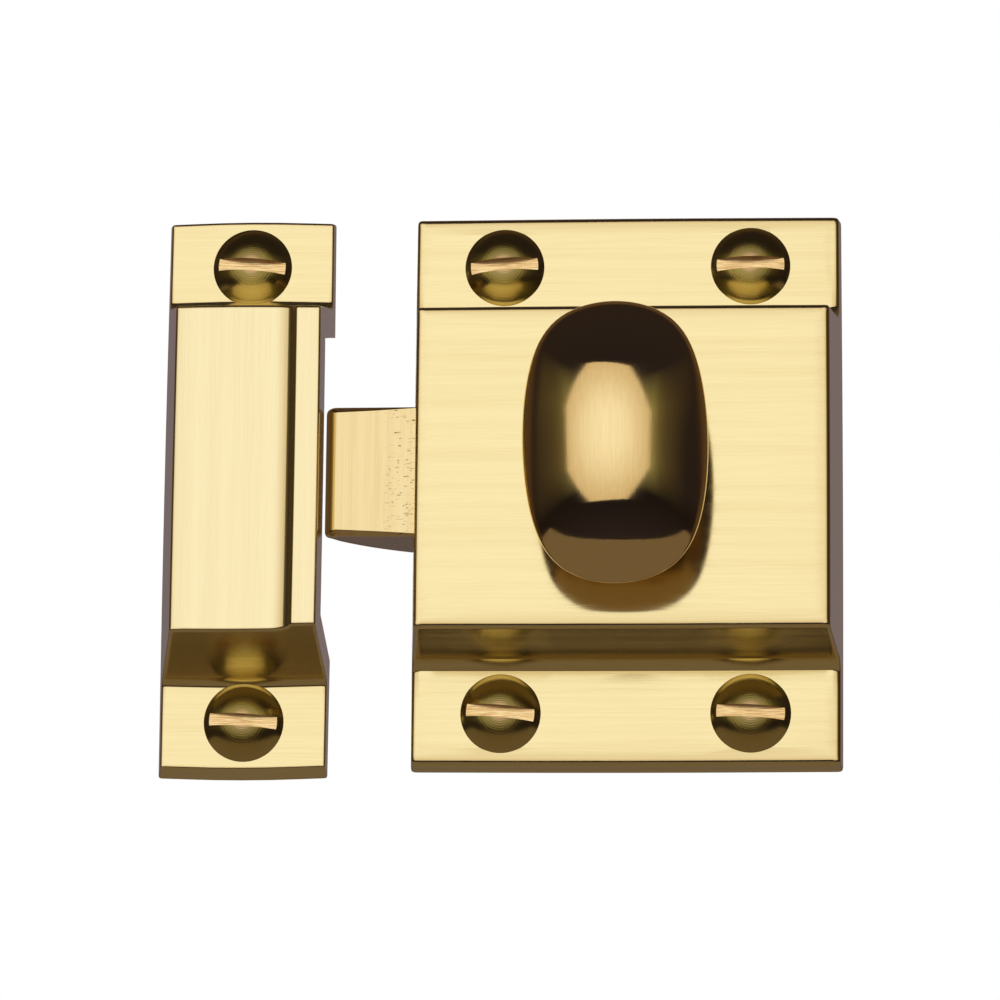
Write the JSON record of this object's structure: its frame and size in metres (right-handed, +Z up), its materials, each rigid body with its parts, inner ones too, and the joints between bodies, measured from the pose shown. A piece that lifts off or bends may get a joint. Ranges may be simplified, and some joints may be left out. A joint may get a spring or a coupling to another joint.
{
  "type": "cabinet knob latch",
  "caption": "Surface cabinet latch: an oval knob turns a crank that draws a sprung bevelled bolt into its cast case, with a lipped keep.",
  "frame": {"origin": "middle of the case's four screws, on the back plane where the case meets the door", "axes": "+X across the latch away from the keep, +Y out of the back into the door, +Z up the door; the knob stands out towards -Y"},
  "size_m": [0.0613, 0.0389, 0.0516],
  "materials": {
    "case_brass": "cast brass, flat faces brushed across, lacquered",
    "keep_brass": "cast brass, front brushed up and down, raised lip polished",
    "bolt_brass": "cast brass, brushed up and down, small casting pits",
    "knob_brass": "mirror polished",
    "screw_brass": "turned and polished, raw in the slot",
    "sheet_brass": "rolled sheet",
    "machined_steel": "machined, bright zinc plated",
    "spring_steel": "drawn spring wire"
  },
  "bodies": {
    "fixed": {"case": "case_brass", "cover_plate": "sheet_brass", "cover_screw_1": "screw_brass", "cover_screw_2": "screw_brass", "case_screw_1": "screw_brass", "case_screw_2": "screw_brass", "case_screw_3": "screw_brass", "case_screw_4": "screw_brass", "keep": "keep_brass", "keep_screw_1": "screw_brass", "keep_screw_2": "screw_brass", "return_spring": "spring_steel"},
    "turning": {"knob": "knob_brass", "spindle": "machined_steel", "follower": "machined_steel", "spindle_washer": "machined_steel", "spindle_screw": "machined_steel"},
    "sliding": {"bolt": "bolt_brass"}
  },
  "joints": [
    {"name": "knob_turn", "type": "hinge", "parent": "fixed", "child": "turning", "pos_m": [0, 0, 0], "axis": [0, -1, 0], "range_deg": [0, 75]},
    {"name": "bolt_slide", "type": "slide", "parent": "fixed", "child": "sliding", "axis": [1, 0, 0], "range_m": [0, 0.008], "stiffness_N_per_m": 60, "springref_m": -0.006, "deforming": ["return_spring"]}
  ],
  "couplings": [
    {"joint": "knob_turn", "follows": "bolt_slide", "rad_per_m": 163.62}
  ]
}
